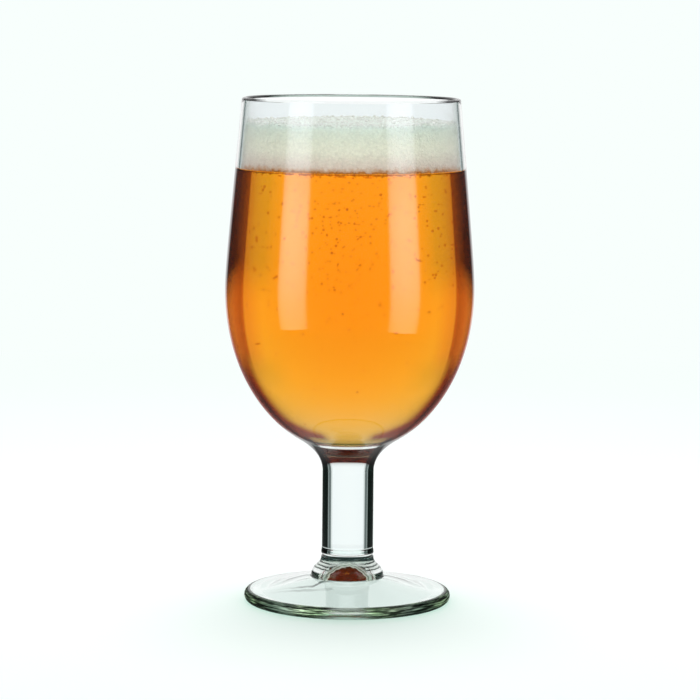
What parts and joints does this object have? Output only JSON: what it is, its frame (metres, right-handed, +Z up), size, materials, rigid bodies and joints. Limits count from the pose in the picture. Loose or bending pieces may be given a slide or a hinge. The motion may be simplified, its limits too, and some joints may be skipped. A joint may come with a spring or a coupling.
{
  "type": "stemmed beer glass",
  "caption": "Clear footed beer glass with an egg-shaped bowl on a short round stem and a flared hub, filled with amber lager under a pale foam head.",
  "frame": {"origin": "middle of the plane the foot stands on", "axes": "+Z up along the axis of the glass, from the foot to the rim; -Y towards the camera of the picture, +X to its right"},
  "size_m": [0.0812, 0.0812, 0.165],
  "materials": {
    "foot": "polished",
    "stem": "polished",
    "bowl": "polished",
    "beer": "polished",
    "foam_head": "matte"
  },
  "bodies": {
    "root": {"foot": "foot", "stem": "stem", "bowl": "bowl", "beer": "beer", "foam_head": "foam_head"}
  },
  "joints": []
}
